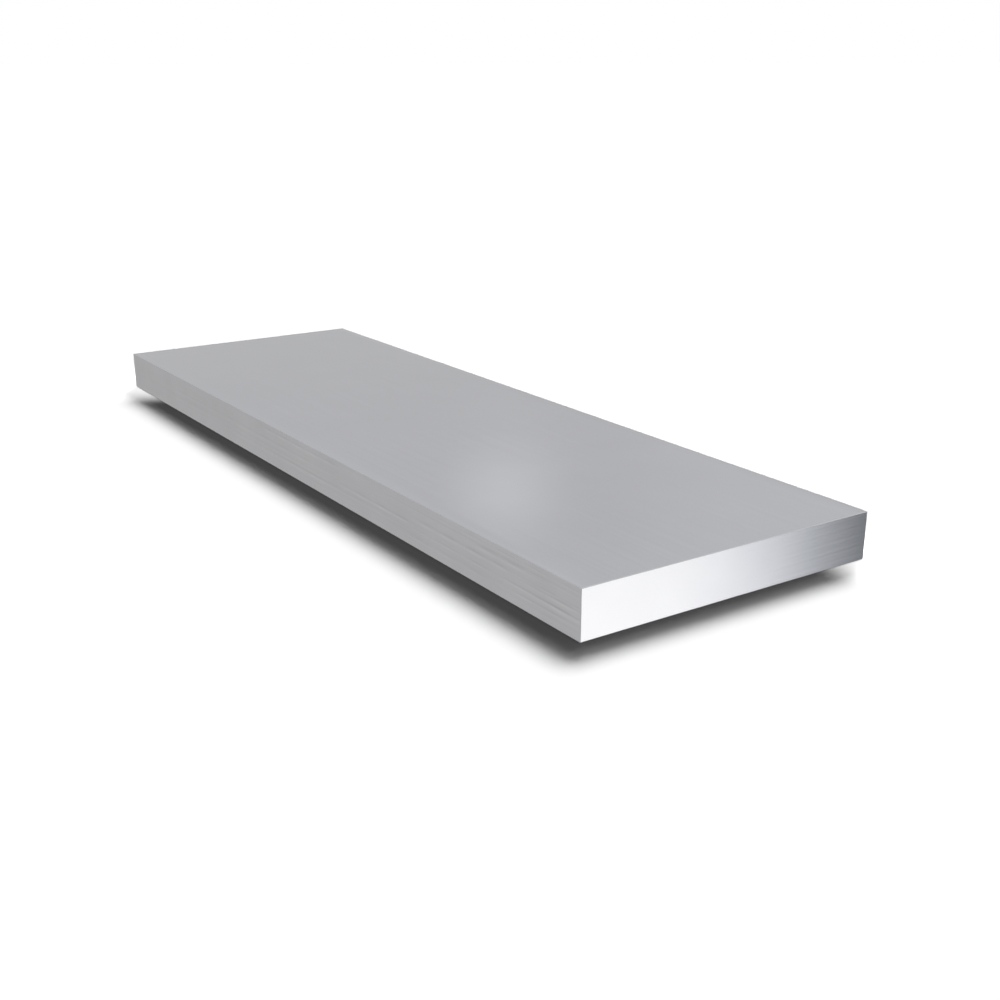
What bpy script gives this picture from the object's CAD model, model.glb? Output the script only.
import math

import bmesh
import bpy
import numpy as np
from mathutils import Matrix, Vector


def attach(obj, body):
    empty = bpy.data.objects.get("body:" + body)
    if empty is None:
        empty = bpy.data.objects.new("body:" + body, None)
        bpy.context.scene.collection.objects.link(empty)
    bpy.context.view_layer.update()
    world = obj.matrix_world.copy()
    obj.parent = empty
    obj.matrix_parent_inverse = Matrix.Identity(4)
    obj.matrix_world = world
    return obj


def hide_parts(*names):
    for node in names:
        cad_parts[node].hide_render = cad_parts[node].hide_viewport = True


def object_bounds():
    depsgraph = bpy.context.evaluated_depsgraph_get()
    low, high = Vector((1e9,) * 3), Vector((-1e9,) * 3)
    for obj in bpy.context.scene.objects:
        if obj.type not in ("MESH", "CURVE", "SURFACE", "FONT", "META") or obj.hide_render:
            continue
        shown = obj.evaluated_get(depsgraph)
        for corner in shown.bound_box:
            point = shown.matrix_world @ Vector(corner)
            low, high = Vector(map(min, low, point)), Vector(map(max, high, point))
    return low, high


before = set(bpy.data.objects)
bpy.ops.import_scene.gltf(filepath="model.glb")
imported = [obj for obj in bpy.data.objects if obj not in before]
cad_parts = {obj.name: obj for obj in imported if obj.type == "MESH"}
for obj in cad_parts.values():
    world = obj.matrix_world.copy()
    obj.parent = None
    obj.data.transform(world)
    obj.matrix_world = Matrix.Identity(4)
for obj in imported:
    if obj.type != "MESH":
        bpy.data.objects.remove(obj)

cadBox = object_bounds()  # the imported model's box, before anything is added to it
mm = 0.001  # the scene is in metres
micron = 0.000001


def linearColour(sRgbHex):
    # Each sRGB channel c from 0 to 1 turns linear: c / 12.92 when very dark, and otherwise
    # ((c + 0.055) / 1.055) to the power 2.4.
    channels = np.array(list(bytes.fromhex(sRgbHex[1:]))) / 255
    linear = np.where(channels <= 0.04045, channels / 12.92, ((channels + 0.055) / 1.055) ** 2.4)
    return (*linear.tolist(), 1.0)


def addNode(tree, kind, settings=None, links=None):
    # A setting goes to the input socket of that name or number, or else to the node's own
    # property. A link says which output feeds an input.
    node = tree.nodes.new(kind)
    for name, value in (settings or {}).items():
        if isinstance(name, int) or name in node.inputs:
            node.inputs[name].default_value = value
        else:
            setattr(node, name, value)
    for name, source in (links or {}).items():
        tree.links.new(source, node.inputs[name])
    return node


mixColourA, mixColourB = 6, 7  # the Mix node's two colour sockets


def directionOf(azimuth, elevation):
    # Unit vector at an azimuth counted from +X towards +Y and an elevation above the floor,
    # both in degrees.
    turn, rise = math.radians(azimuth), math.radians(elevation)
    flat = math.cos(rise)
    return Vector((math.cos(turn) * flat, math.sin(turn) * flat, math.sin(rise)))


# The bar's skin: one closed surface over the sawn length of flat bar
bar = dict(
    cornerRadius=0.2 * mm,  # rounding that the die leaves along the four long edges
    burrBevel=0.15 * mm,  # how far the filed bevel round each sawn end reaches in
    bevelWaver=0.12,  # share by which the file's pressure changes the bevel
    bevelWaves=(23, 41),  # how many such changes there are round the section
    cornerSteps=3,  # facets in each half of a rounded corner
    lengthStep=1.5 * mm,  # fine enough to carry the shallow places in the die lines
    widthStep=3.0 * mm,
    thicknessStep=0.06 * mm,  # fine enough to carry the die lines and saw lines
    weldDistance=0.5 * micron,
    sharpAngle=35,  # degrees; the bevels stay crisp and the rounded edges smooth
    flatWithin=0.001,  # an outward direction this close to +Y or -Y belongs to a narrow side
)

# Die lines: shallow scores along both narrow sides, dragged by specks of metal that stick to
# the die and come away again
dieLines = dict(
    seed=5,
    count=40,  # on each narrow side
    halfWidth=(0.13 * mm, 0.36 * mm),
    steepness=(0.015, 0.065),  # depth as a share of the half width
    start=(-150 * mm, 100 * mm),  # along the bar
    length=(20 * mm, 130 * mm),
    fadeLength=7 * mm,  # over which a score deepens from nothing, and ends again
    skipLength=(5 * mm, 12 * mm),  # from one shallow place in a score to the next
    skipShare=0.75,  # how much of its depth a score loses there
    # The deepest ones, on the -Y side: height above the underside, start and length
    deepScores=(
        (8.5 * mm, -20 * mm, 46 * mm),
        (7.6 * mm, 74 * mm, 27 * mm),
        (6.0 * mm, 54 * mm, 37 * mm),
        (5.4 * mm, 92 * mm, 37 * mm),
        (4.8 * mm, 21 * mm, 34 * mm),
        (3.8 * mm, 94 * mm, 37 * mm),
    ),
    deepHalfWidth=0.36 * mm,
    deepSteepness=0.09,
)

# Saw lines: the blade's teeth leave fine level ridges across both ends
sawLines = dict(
    seed=9,
    spacing=(0.45 * mm, 0.83 * mm, 1.37 * mm),
    depth=(0.5 * micron, 0.8 * micron, 1.0 * micron),
    bow=0.35 * mm,  # how far a line sags between the two narrow sides
)

boxLow, boxHigh = (np.array(corner) for corner in cadBox)
barLength, barWidth, barThickness = boxHigh - boxLow
plusY, minusY = 1, 3  # the sides of the section go bottom, +Y side, top, -Y side
wideFinish, narrowFinish, sawnFinish, filedFinish = range(4)  # the order of the skin's materials
sideRuns = [barWidth, barThickness] * 2
sideSteps = [bar["widthStep"], bar["thicknessStep"]] * 2
sideCounts = [max(round(run / step), 1) for run, step in zip(sideRuns, sideSteps)]
# A side's faces in the skin are its own and those of half the corner at each end of it
sideFaces = [count + 2 * bar["cornerSteps"] for count in sideCounts]
rightAngle = 90  # degrees


def sectionRing(inset):
    # The section's closed outline, from the middle of one rounded corner round to it again.
    # A point is (corner centre + share * straight run) + (radius - inset) * (cos t, sin t):
    # along a run the share goes from 0 to 1 while t faces straight out of that side, and on
    # the half corners before and after it t turns from -45 to 0 and from 0 to 45 degrees.
    reach = np.array([barWidth, barThickness]) / 2 - bar["cornerRadius"]
    centres = np.array([(-1, -1), (1, -1), (1, 1), (-1, 1)]) * reach
    halfTurn = np.linspace(0, rightAngle / 2, bar["cornerSteps"] + 1)
    base, facing = [], []
    for side, count in enumerate(sideCounts):
        run = centres[(side + 1) % len(centres)] - centres[side]
        share = np.pad(np.linspace(0, 1, count + 1), bar["cornerSteps"], mode="edge")
        turn = np.concatenate([halfTurn[:0:-1] * -1, np.zeros(count + 1), halfTurn[1:]])
        keep = slice(None, -1)  # the next side starts with this side's last point
        base.append((centres[side] + share[:, None] * run)[keep])
        facing.append(np.radians(turn + rightAngle * (side - 1))[keep])
    base, facing = np.concatenate(base), np.concatenate(facing)
    outward = np.stack([np.cos(facing), np.sin(facing)], axis=1)
    ring = base + (bar["cornerRadius"] - np.reshape(inset, (-1, 1))) * outward
    ring = np.concatenate([ring, ring[:1]])
    return ring + (0, barThickness / 2), np.concatenate([outward, outward[:1]])


def dieLineDepth(x, z, side):
    # How deep the scores lie below a narrow side: the sum over the scores of
    # depth * exp(-((z - height) / half width)^2) * rise * press. The rise is a smooth step from
    # 0 to 1 of the distance past the score's start or before its end, whichever is the shorter.
    # The press is 1 less the skip share * (1 + cos(turn)) / 2, with a turn for each skip length.
    draw = np.random.default_rng(dieLines["seed"] + side)
    count = dieLines["count"]
    height = draw.uniform(bar["cornerRadius"], barThickness - bar["cornerRadius"], count)
    halfWidth = draw.uniform(*dieLines["halfWidth"], count)
    depth = draw.uniform(*dieLines["steepness"], count) * halfWidth
    start = draw.uniform(*dieLines["start"], count)
    length = draw.uniform(*dieLines["length"], count)
    if side == minusY:
        deep = np.array(dieLines["deepScores"])
        height, start, length = (np.append(*both) for both in zip((height, start, length), deep.T))
        halfWidth = np.append(halfWidth, np.full(len(deep), dieLines["deepHalfWidth"]))
        deepest = dieLines["deepHalfWidth"] * dieLines["deepSteepness"]
        depth = np.append(depth, np.full(len(deep), deepest))
    skip = draw.uniform(*dieLines["skipLength"], len(height))
    phase = draw.uniform(0, 2 * math.pi, len(height))
    height, halfWidth, depth, start, length, skip, phase = (
        values[:, None, None] for values in (height, halfWidth, depth, start, length, skip, phase))
    inside = np.minimum(x - start, start + length - x)
    rise = np.clip(inside / dieLines["fadeLength"], 0, 1)
    press = 1 - dieLines["skipShare"] * (1 + np.cos(2 * math.pi * x / skip + phase)) / 2
    profile = depth * np.exp(-((z - height) / halfWidth) ** 2)
    return np.sum(profile * rise ** 2 * (3 - 2 * rise) * press, axis=0)


def sawLineDepth(y, z, end):
    # How deep the saw lines lie below a sawn end: the sum of depth * (1 + cos(phase)) / 2,
    # where the phase counts lines up the end, each bowed down by a parabola over its width.
    draw = np.random.default_rng(sawLines["seed"] + end)
    bowed = z + sawLines["bow"] * (1 - (2 * y / barWidth) ** 2)
    depth = 0.0
    for spacing, deepest in zip(sawLines["spacing"], sawLines["depth"]):
        phase = 2 * math.pi * (bowed / spacing + draw.random())
        depth = depth + deepest * (1 + np.cos(phase)) / 2
    return depth


def bevelReach(distance):
    # How far the bevel reaches in at each distance round the section: the mean reach times
    # 1 + waver * the mean of cosines that fit a whole number of waves round the section.
    turn = 2 * math.pi * distance / distance[-1]
    waves = np.mean([np.cos(count * turn + count) for count in bar["bevelWaves"]], axis=0)
    return bar["burrBevel"] * (1 + bar["bevelWaver"] * waves)


outerRing, ringOutward = sectionRing(0.0)
around = np.concatenate([[0], np.cumsum(np.linalg.norm(np.diff(outerRing, axis=0), axis=1))])
bevels = bevelReach(around)
innerRing = sectionRing(bevels[:-1])[0]


def onSawnFace(section, end):
    # The section's points (y, z) moved out to the sawn face at -X (end = -1) or +X (end = 1):
    # x = end * (half length - the depth of the saw lines there).
    x = end * (barLength / 2 - sawLineDepth(section[..., 0], section[..., 1], end))
    return np.concatenate([x[..., None], section], axis=-1)


def tubeGrid():
    # The outer ring carried along the bar, with x = share * (half length - bevel), where the
    # share goes from -1 to 1. The narrow sides sink by their scores. One more ring at each end,
    # the inner one, makes the bevel.
    share = np.linspace(-1, 1, round(barLength / bar["lengthStep"]) + 1)[:, None]
    body = np.empty((len(share), len(outerRing), 3))
    body[..., 0] = share * (barLength / 2 - bevels)
    body[..., 1:] = outerRing
    for side, way in ((plusY, 1), (minusY, -1)):
        flat = ringOutward[:, 0] * way > 1 - bar["flatWithin"]
        body[:, flat, 1] -= way * dieLineDepth(body[:, flat, 0], body[:, flat, 2], side)
    tube = np.concatenate([onSawnFace(innerRing, -1)[None], body, onSawnFace(innerRing, 1)[None]])
    uv = np.stack([tube[..., 0], np.broadcast_to(around, tube.shape[:2])], axis=-1)
    finish = np.tile(np.repeat([wideFinish, narrowFinish] * 2, sideFaces), (len(tube) - 1, 1))
    finish[[0, -1]] = filedFinish
    return tube, uv, finish


def capGrid(end):
    # A sawn end as a Coons patch: (1-v)*bottom + v*top + (1-u)*left + u*right, less the same
    # blend of the four corners, so that its rim is the bevel's inner ring.
    first = np.cumsum([0] + sideFaces)
    bottom, right, top, left = (innerRing[first[k]:first[k + 1] + 1] for k in range(len(sideFaces)))
    top, left = top[::-1], left[::-1]
    u = np.linspace(0, 1, len(bottom))[None, :, None]
    v = np.linspace(0, 1, len(right))[:, None, None]
    flat = (1 - v) * bottom[None] + v * top[None] + (1 - u) * left[:, None] + u * right[:, None]
    flat -= (1 - v) * ((1 - u) * bottom[0] + u * bottom[-1]) + v * ((1 - u) * top[0] + u * top[-1])
    return onSawnFace(flat, end), flat, np.full((len(right) - 1, len(bottom) - 1), sawnFinish)


def meshFromGrids(name, grids):
    # Each grid is its points, their UV and its faces' finish. Neighbouring points (row, column)
    # make the quads, and the rims that grids share are welded. U runs along the lines that each
    # finish has and V across them, both in metres.
    points, quads, uvs, finishes = [], [], [], []
    start = 0
    for grid, uv, finish in grids:
        index = start + np.arange(grid[..., 0].size).reshape(grid.shape[:2])
        corners = (index[:-1, :-1], index[:-1, 1:], index[1:, 1:], index[1:, :-1])
        points.append(grid.reshape(-1, 3))
        quads.append(np.stack(corners, axis=-1).reshape(-1, 4))
        uvs.append(uv.reshape(-1, 2))
        finishes.append(finish.ravel())
        start += index.size
    points, quads, uvs, finishes = map(np.concatenate, (points, quads, uvs, finishes))
    mesh = bpy.data.meshes.new(name)
    mesh.from_pydata(points, [], quads.tolist())
    mesh.polygons.foreach_set("material_index", finishes.astype(np.int32))
    mesh.uv_layers.new(name="barUv").data.foreach_set("uv", uvs[quads].astype(np.float32).ravel())
    welded = bmesh.new()
    welded.from_mesh(mesh)
    bmesh.ops.remove_doubles(welded, verts=welded.verts, dist=bar["weldDistance"])
    bmesh.ops.recalc_face_normals(welded, faces=welded.faces)
    welded.to_mesh(mesh)
    welded.free()
    mesh.polygons.foreach_set("use_smooth", np.ones(len(mesh.polygons), dtype=bool))
    mesh.set_sharp_from_angle(angle=math.radians(bar["sharpAngle"]))
    return mesh


skinMesh = meshFromGrids("flat_bar_skin", [tubeGrid(), capGrid(-1), capGrid(1)])
barSkin = bpy.data.objects.new("flat_bar_skin", skinMesh)
bpy.context.scene.collection.objects.link(barSkin)
print("bar skin made:", len(barSkin.data.polygons), "faces")

# Mill-finish aluminium, the wide faces as the extrusion press leaves them. The eye sees a
# quiet cool grey satin that holds soft lights, with the finest of streaks along the bar.
millFinish = dict(
    paleColour="#B2B3B8",
    darkColour="#AFB0B5",
    roughness=(0.115, 0.14),
    anisotropic=0.2,
    streakLength=70 * mm,
    streakWidth=0.7 * mm,  # really about 0.1 mm; drawn coarser, as it would not show
    streakDepth=1.0 * micron,
    cloudSize=16 * mm,
)

# Die-drawn aluminium, the narrow sides. They rub harder on the die than the wide faces do,
# so the eye sees the same grey but less shine, and the drag lines lie closer together.
dieDrawn = dict(
    paleColour="#B3B3B5",
    darkColour="#ADADAF",
    roughness=(0.29, 0.34),
    anisotropic=0.45,
    streakLength=45 * mm,
    streakWidth=0.35 * mm,  # really about 0.1 mm; drawn coarser, as it would not show
    streakDepth=3.0 * micron,
    cloudSize=12 * mm,
)

# Band-sawn aluminium, the two ends. Freshly cut metal has no dull skin on it yet, so the eye
# sees it near white, and the blade's level lines smear reflections up and down.
bandSawn = dict(
    paleColour="#F8F8F9",
    darkColour="#F3F3F5",
    roughness=(0.17, 0.19),
    anisotropic=0.85,
    streakLength=30 * mm,
    streakWidth=0.25 * mm,  # the blade's tooth marks
    streakDepth=0.4 * micron,
    cloudSize=9 * mm,
)

# Filed aluminium, the bevels round the ends. The eye sees a thread of clean grey metal with
# the file's short strokes across it.
filedBevel = dict(
    paleColour="#BDBEC1",
    darkColour="#B2B3B6",
    roughness=(0.28, 0.34),
    anisotropic=0.3,
    streakLength=3 * mm,
    streakWidth=0.05 * mm,  # a second-cut file's strokes
    streakDepth=0.5 * micron,
    cloudSize=5 * mm,
)


# What the four finishes share
barePattern = dict(
    streakDetail=2.0,
    cloudDetail=3.0,
    streakRange=(0.3, 0.7),  # the noise values that stretch over the whole roughness range
    toneRange=(0.1, 0.4),  # streaks times clouds, stretched over the two colours
    acrossLines=0.25,  # a quarter turn, so that the shine spreads across the lines
)


def aluminium(name, finish):
    # Bare metal whose colour, roughness and height all follow one pattern of long streaks,
    # over which larger clouds shift the colour.
    material = bpy.data.materials.new(name)
    material.use_nodes = True
    tree = material.node_tree
    tree.nodes.clear()
    along = addNode(tree, "ShaderNodeUVMap", dict(uv_map="barUv"))
    stretched = addNode(tree, "ShaderNodeMapping", {
        "Scale": (1 / finish["streakLength"], 1 / finish["streakWidth"], 1.0),
    }, {"Vector": along.outputs["UV"]})
    streaks = addNode(tree, "ShaderNodeTexNoise", {
        "Scale": 1.0, "Detail": barePattern["streakDetail"],
    }, {"Vector": stretched.outputs["Vector"]})
    place = addNode(tree, "ShaderNodeTexCoord")
    clouds = addNode(tree, "ShaderNodeTexNoise", {
        "Scale": 1 / finish["cloudSize"], "Detail": barePattern["cloudDetail"],
    }, {"Vector": place.outputs["Object"]})
    blend = addNode(tree, "ShaderNodeMath", dict(operation="MULTIPLY"), {
        0: streaks.outputs["Fac"], 1: clouds.outputs["Fac"]})
    tone = addNode(tree, "ShaderNodeMapRange", {
        "From Min": barePattern["toneRange"][0], "From Max": barePattern["toneRange"][1],
    }, {"Value": blend.outputs["Value"]})
    colour = addNode(tree, "ShaderNodeMix", {
        "data_type": "RGBA",
        mixColourA: linearColour(finish["darkColour"]),
        mixColourB: linearColour(finish["paleColour"]),
    }, {"Factor": tone.outputs["Result"]})
    shine = addNode(tree, "ShaderNodeMapRange", {
        "From Min": barePattern["streakRange"][0], "From Max": barePattern["streakRange"][1],
        "To Min": finish["roughness"][0], "To Max": finish["roughness"][1],
    }, {"Value": streaks.outputs["Fac"]})
    relief = addNode(tree, "ShaderNodeBump", {"Strength": 1.0, "Distance": finish["streakDepth"]}, {
        "Height": streaks.outputs["Fac"]})
    lines = addNode(tree, "ShaderNodeTangent", dict(direction_type="UV_MAP", uv_map="barUv"))
    metal = addNode(tree, "ShaderNodeBsdfPrincipled", {
        "Metallic": 1.0,
        "Anisotropic": finish["anisotropic"],
        "Anisotropic Rotation": barePattern["acrossLines"],
    }, {
        "Base Color": colour.outputs["Result"],
        "Roughness": shine.outputs["Result"],
        "Normal": relief.outputs["Normal"],
        "Tangent": lines.outputs["Tangent"],
    })
    addNode(tree, "ShaderNodeOutputMaterial", None, {"Surface": metal.outputs["BSDF"]})
    return material


for name, finish in (
    ("millFinishAluminium", millFinish),
    ("dieDrawnAluminium", dieDrawn),
    ("bandSawnAluminium", bandSawn),
    ("filedAluminium", filedBevel),
):
    barSkin.data.materials.append(aluminium(name, finish))
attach(barSkin, "root")
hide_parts("flat_bar")
print("finishes made:", ", ".join(slot.name for slot in barSkin.data.materials))

# The floor: a plain white sheet that keeps the bar's shadow. Only the camera sees it white;
# to other rays it is a mid grey, so that it doesn't light up its own shadow.
floorSheet = dict(
    halfSize=30.0,
    seenColour="#FFFFFF",
    bouncedColour="#BCBCBC",
)

floorMaterial = bpy.data.materials.new("mattWhiteSheet")
floorMaterial.use_nodes = True
tree = floorMaterial.node_tree
tree.nodes.clear()
ray = addNode(tree, "ShaderNodeLightPath")
sheetColour = addNode(tree, "ShaderNodeMix", {
    "data_type": "RGBA",
    mixColourA: linearColour(floorSheet["bouncedColour"]),
    mixColourB: linearColour(floorSheet["seenColour"]),
}, {"Factor": ray.outputs["Is Camera Ray"]})
matt = addNode(tree, "ShaderNodeBsdfDiffuse", None, {"Color": sheetColour.outputs["Result"]})
addNode(tree, "ShaderNodeOutputMaterial", None, {"Surface": matt.outputs["BSDF"]})

floorMesh = bpy.data.meshes.new("floor_sheet")
floorCorners = np.array([(-1, -1, 0), (1, -1, 0), (1, 1, 0), (-1, 1, 0)]) * floorSheet["halfSize"]
floorMesh.from_pydata(floorCorners, [], [(0, 1, 2, 3)])
floorMesh.materials.append(floorMaterial)
floor = bpy.data.objects.new("floor_sheet", floorMesh)
bpy.context.scene.collection.objects.link(floor)
floor.visible_glossy = False  # the bar mirrors the studio's table below instead
print("floor laid")

# The studio that the bar mirrors: pale walls above the horizon, and a white table below it
# whose two halves are lit unevenly. The level of each goes between two heights of the
# direction looked in (-1 is straight down, 1 straight up) and holds beyond them. Each lean
# multiplies it by a share that goes by how far that direction points towards a place, as
# the cosine of the angle between them. Azimuths are in degrees from +X towards +Y.
studio = dict(
    backdropLevel=1.0,  # what the camera sees behind the floor
    ambientLevel=0.08,  # light that the whole room gives the floor
    walls=dict(
        heights=(0.19, 0.50), levels=(0.71, 1.0),
        leans=(dict(azimuth=60, elevation=0, cosines=(0.15, 0.23), shares=(1.0, 1.065)),),
    ),
    nearTable=dict(  # towards +X
        heights=(-0.21, -0.45), levels=(0.75, 1.25),
        leans=(
            dict(azimuth=75, elevation=0, cosines=(0.45, 0.77), shares=(0.80, 1.03)),
            dict(azimuth=0, elevation=-90, cosines=(0.46, 0.56), shares=(1.0, 0.8)),
        ),
    ),
    farTable=dict(  # towards -X
        heights=(-0.21, -0.47), levels=(1.03, 0.87),
        leans=(
            dict(azimuth=245, elevation=0, cosines=(0.62, 0.90), shares=(0.59, 1.19)),
            dict(azimuth=270, elevation=0, cosines=(0.72, 0.90), shares=(1.0, 0.70)),
            dict(azimuth=160, elevation=0, cosines=(0.80, 0.93), shares=(1.0, 1.3)),
        ),
    ),
    tableJoin=(-0.3, 0.3),  # the direction's x, over which the far half turns into the near one
    tableEdge=dict(
        whiteUntil=42.3, darkFrom=52.2, darkUntil=62.5, whiteFrom=74.0,
        colours=("#FFFFFF", "#DADDE5", "#051413"),  # on the table, half way and in the dark
        halfWay=0.5,
    ),
    softBox=dict(azimuth=145.8, elevation=18.3, halfWidth=3.65, halfHeight=1.5, strength=0.418),
    beforeFloor=0.5,  # fewer matt bounces than this means that the light hasn't met the floor
)

world = bpy.data.worlds.new("studio")
bpy.context.scene.world = world
world.use_nodes = True
tree = world.node_tree
tree.nodes.clear()
direction = addNode(tree, "ShaderNodeTexCoord").outputs["Generated"]
axes = addNode(tree, "ShaderNodeSeparateXYZ", None, {"Vector": direction})

levels = []
for part in (studio["walls"], studio["nearTable"], studio["farTable"]):
    level = addNode(tree, "ShaderNodeMapRange", {
        "From Min": part["heights"][0], "From Max": part["heights"][1],
        "To Min": part["levels"][0], "To Max": part["levels"][1],
    }, {"Value": axes.outputs["Z"]}).outputs["Result"]
    for lean in part["leans"]:
        place = directionOf(lean["azimuth"], lean["elevation"])
        towards = addNode(tree, "ShaderNodeVectorMath", {
            "operation": "DOT_PRODUCT", 1: place}, {0: direction})
        share = addNode(tree, "ShaderNodeMapRange", {
            "From Min": lean["cosines"][0], "From Max": lean["cosines"][1],
            "To Min": lean["shares"][0], "To Max": lean["shares"][1],
        }, {"Value": towards.outputs["Value"]})
        level = addNode(tree, "ShaderNodeMath", dict(operation="MULTIPLY"), {
            0: level, 1: share.outputs["Result"]}).outputs["Value"]
    levels.append(level)
wallsLevel, nearLevel, farLevel = levels
join = addNode(tree, "ShaderNodeMapRange", {
    "From Min": studio["tableJoin"][0], "From Max": studio["tableJoin"][1],
}, {"Value": axes.outputs["X"]})
tableLevel = addNode(tree, "ShaderNodeMix", None, {
    "Factor": join.outputs["Result"], "A": farLevel, "B": nearLevel})

# A soft box low behind the bar: brightest at its middle and fading to nothing at its rim.
# The mapping turns it to face straight along X and makes its half width and height 1.
softBox = studio["softBox"]
boxMiddle = directionOf(softBox["azimuth"], softBox["elevation"])
boxTurn, boxRise, boxHalfWidth, boxHalfHeight = (
    math.radians(softBox[key]) for key in ("azimuth", "elevation", "halfWidth", "halfHeight"))
fromBox = addNode(tree, "ShaderNodeMapping", {
    "vector_type": "TEXTURE",
    "Location": boxMiddle,
    "Rotation": (0, -boxRise, boxTurn),
    "Scale": (1, math.sin(boxHalfWidth), math.sin(boxHalfHeight)),
}, {"Vector": direction})
outwards = addNode(tree, "ShaderNodeVectorMath", dict(operation="LENGTH"), {
    0: fromBox.outputs["Vector"]})
boxLevel = addNode(tree, "ShaderNodeMapRange", {
    "interpolation_type": "SMOOTHSTEP",
    "From Min": 1.0, "From Max": 0.0, "To Min": 0.0, "To Max": softBox["strength"],
}, {"Value": outwards.outputs["Value"]})
litWalls = addNode(tree, "ShaderNodeMath", dict(operation="ADD"), {
    0: wallsLevel, 1: boxLevel.outputs["Result"]})

# Beyond the near end the white table stops, and the dark room shows
edge = studio["tableEdge"]
azimuth = addNode(tree, "ShaderNodeMath", dict(operation="ARCTAN2"), {
    0: axes.outputs["Y"], 1: axes.outputs["X"]})
entering = addNode(tree, "ShaderNodeMapRange", {
    "interpolation_type": "SMOOTHSTEP",
    "From Min": math.radians(edge["whiteUntil"]), "From Max": math.radians(edge["darkFrom"]),
}, {"Value": azimuth.outputs["Value"]})
leaving = addNode(tree, "ShaderNodeMapRange", {
    "interpolation_type": "SMOOTHSTEP",
    "From Min": math.radians(edge["whiteFrom"]), "From Max": math.radians(edge["darkUntil"]),
}, {"Value": azimuth.outputs["Value"]})
darkness = addNode(tree, "ShaderNodeMath", dict(operation="MULTIPLY"), {
    0: entering.outputs["Result"], 1: leaving.outputs["Result"]})
tableColour = addNode(tree, "ShaderNodeValToRGB", None, {"Fac": darkness.outputs["Value"]})
tableColour.color_ramp.elements.new(edge["halfWay"])
for stop, colour in zip(tableColour.color_ramp.elements, edge["colours"]):
    stop.color = linearColour(colour)

above = addNode(tree, "ShaderNodeMath", {"operation": "GREATER_THAN", 1: 0.0}, {
    0: axes.outputs["Z"]})
mirroredWalls = addNode(tree, "ShaderNodeBackground", {"Color": linearColour("#FFFFFF")}, {
    "Strength": litWalls.outputs["Value"]})
mirroredTable = addNode(tree, "ShaderNodeBackground", None, {
    "Color": tableColour.outputs["Color"], "Strength": tableLevel.outputs["Result"]})
mirrored = addNode(tree, "ShaderNodeMixShader", None, {
    0: above.outputs["Value"], 1: mirroredTable.outputs["Background"],
    2: mirroredWalls.outputs["Background"]})

# Who sees what: the camera the backdrop, metal and glass the mirrored studio, and the floor
# only the even room light, also when it looks at the bar, so that its shadow stays deep
ray = addNode(tree, "ShaderNodeLightPath")
mirrorRay = addNode(tree, "ShaderNodeMath", dict(operation="MAXIMUM"), {
    0: ray.outputs["Is Glossy Ray"], 1: ray.outputs["Is Transmission Ray"]})
beforeFloor = addNode(tree, "ShaderNodeMath", {
    "operation": "LESS_THAN", 1: studio["beforeFloor"]}, {0: ray.outputs["Diffuse Depth"]})
seesStudio = addNode(tree, "ShaderNodeMath", dict(operation="MULTIPLY"), {
    0: mirrorRay.outputs["Value"], 1: beforeFloor.outputs["Value"]})
ambient = addNode(tree, "ShaderNodeBackground", {
    "Color": linearColour("#FFFFFF"), "Strength": studio["ambientLevel"]})
backdrop = addNode(tree, "ShaderNodeBackground", {
    "Color": linearColour("#FFFFFF"), "Strength": studio["backdropLevel"]})
surroundings = addNode(tree, "ShaderNodeMixShader", None, {
    0: seesStudio.outputs["Value"], 1: ambient.outputs["Background"],
    2: mirrored.outputs["Shader"]})
seen = addNode(tree, "ShaderNodeMixShader", None, {
    0: ray.outputs["Is Camera Ray"], 1: surroundings.outputs["Shader"],
    2: backdrop.outputs["Background"]})
addNode(tree, "ShaderNodeOutputWorld", None, {"Surface": seen.outputs["Shader"]})
print("studio made")

# Two lamps high behind the bar throw its shadow forwards: the key lamp gives most of the light,
# and a much wider one about it softens the shadow's edge
lamps = dict(
    keyLamp=dict(azimuth=130.4, elevation=44.4, spread=21.6, strength=3.05),
    wideLamp=dict(azimuth=126.6, elevation=45.3, spread=43.0, strength=1.25),
)

# Two small spots lighten the tips of the shadow. Each is aimed at a place on the floor beside one
# of the bar's corners: the far spot's corner lies at -X and -Y, the near spot's at +X and +Y. The
# spot throws a soft circle there, and on the open floor, which is white already, it doesn't show.
tipSpots = dict(
    distance=500 * mm,
    elevation=70,
    blend=1.0,  # the share of the circle over which it fades out
    lampRadius=2 * mm,
    spots=dict(
        farSpot=dict(place=(-111.5 * mm, -28.5 * mm), azimuth=225, circleRadius=27 * mm, watts=9.5),
        nearSpot=dict(place=(116.0 * mm, 42.0 * mm), azimuth=45, circleRadius=20 * mm, watts=11.8),
    ),
)


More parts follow.
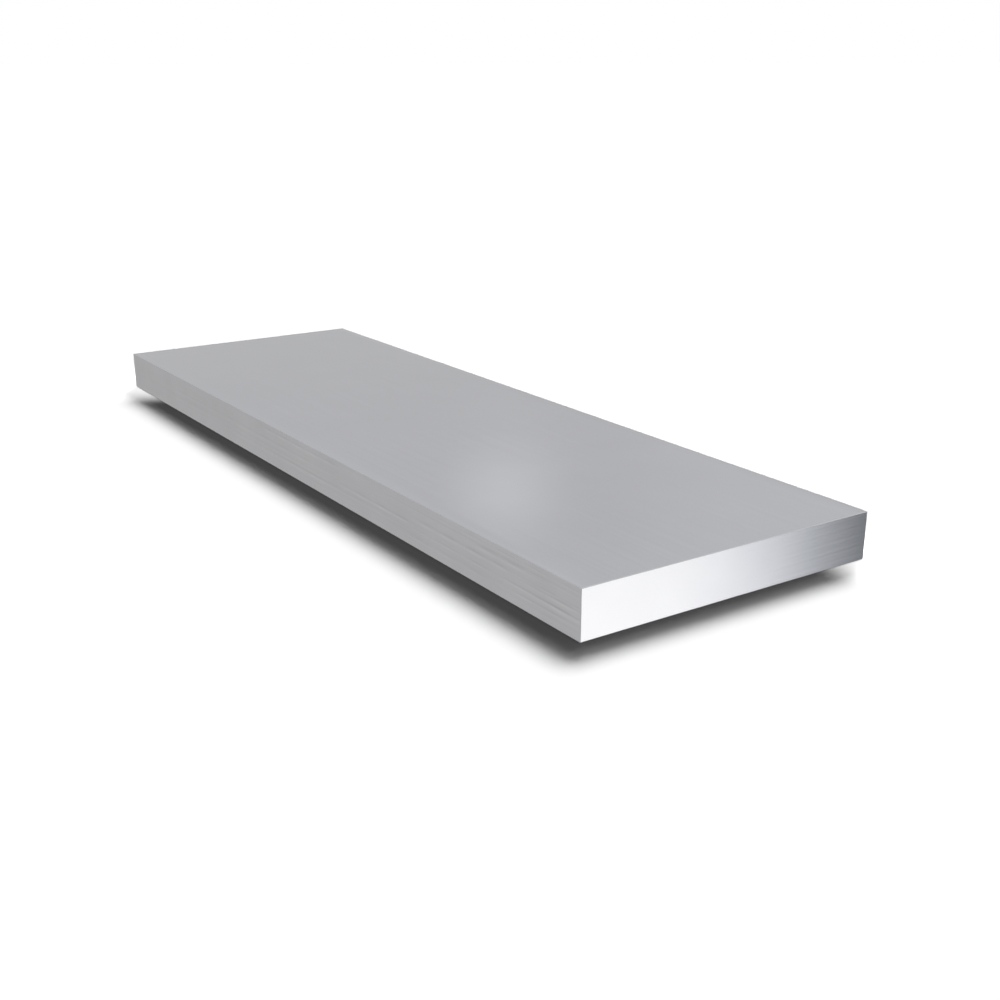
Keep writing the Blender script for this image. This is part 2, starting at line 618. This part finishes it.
def addLamp(lamp, towardsLamp):
    # The lamp's object, turned so that its light comes from that direction.
    lampObject = bpy.data.objects.new(lamp.name, lamp)
    lampObject.rotation_euler = towardsLamp.to_track_quat("Z", "Y").to_euler()
    lampObject.visible_glossy = False  # the mirrored studio already stands for the lamps
    bpy.context.scene.collection.objects.link(lampObject)
    return lampObject


for name, light in lamps.items():
    sun = bpy.data.lights.new(name, "SUN")
    sun.angle = math.radians(light["spread"])
    sun.energy = light["strength"]
    addLamp(sun, directionOf(light["azimuth"], light["elevation"]))
for name, light in tipSpots["spots"].items():
    spot = bpy.data.lights.new(name, "SPOT")
    spot.spot_size = 2 * math.atan(light["circleRadius"] / tipSpots["distance"])
    spot.spot_blend = tipSpots["blend"]
    spot.shadow_soft_size = tipSpots["lampRadius"]
    spot.energy = light["watts"]
    towardsSpot = directionOf(light["azimuth"], tipSpots["elevation"])
    spotObject = addLamp(spot, towardsSpot)
    spotObject.location = Vector((*light["place"], 0)) + towardsSpot * tipSpots["distance"]

# The camera stands at distance from the bar's origin, then slides sideways and up without
# turning. Its azimuth is 0 when it looks along +Y and grows as it moves towards +X.
view = dict(
    azimuth=56.01,
    elevation=18.65,
    distance=324.7 * mm,
    slideRight=18.99 * mm,
    slideUp=-11.28 * mm,
    lens=46.96,  # in millimetres, on a sensor of the width below
    sensorWidth=36.0,
    clipStart=10 * mm,
)

backwards = directionOf(view["azimuth"] - 90, view["elevation"])
rightwards = Vector((0, 0, 1)).cross(backwards).normalized()
upwards = backwards.cross(rightwards)
stand = backwards * view["distance"] + rightwards * view["slideRight"] + upwards * view["slideUp"]
camera = bpy.data.cameras.new("camera")
camera.lens = view["lens"]
camera.sensor_width = view["sensorWidth"]
camera.clip_start = view["clipStart"]
cameraObject = bpy.data.objects.new("camera", camera)
turned = Matrix((rightwards, upwards, backwards)).transposed().to_4x4()
cameraObject.matrix_world = Matrix.Translation(stand) @ turned
bpy.context.scene.collection.objects.link(cameraObject)
bpy.context.scene.camera = cameraObject
bpy.context.scene.view_settings.view_transform = "Standard"
print("lamps and camera placed")
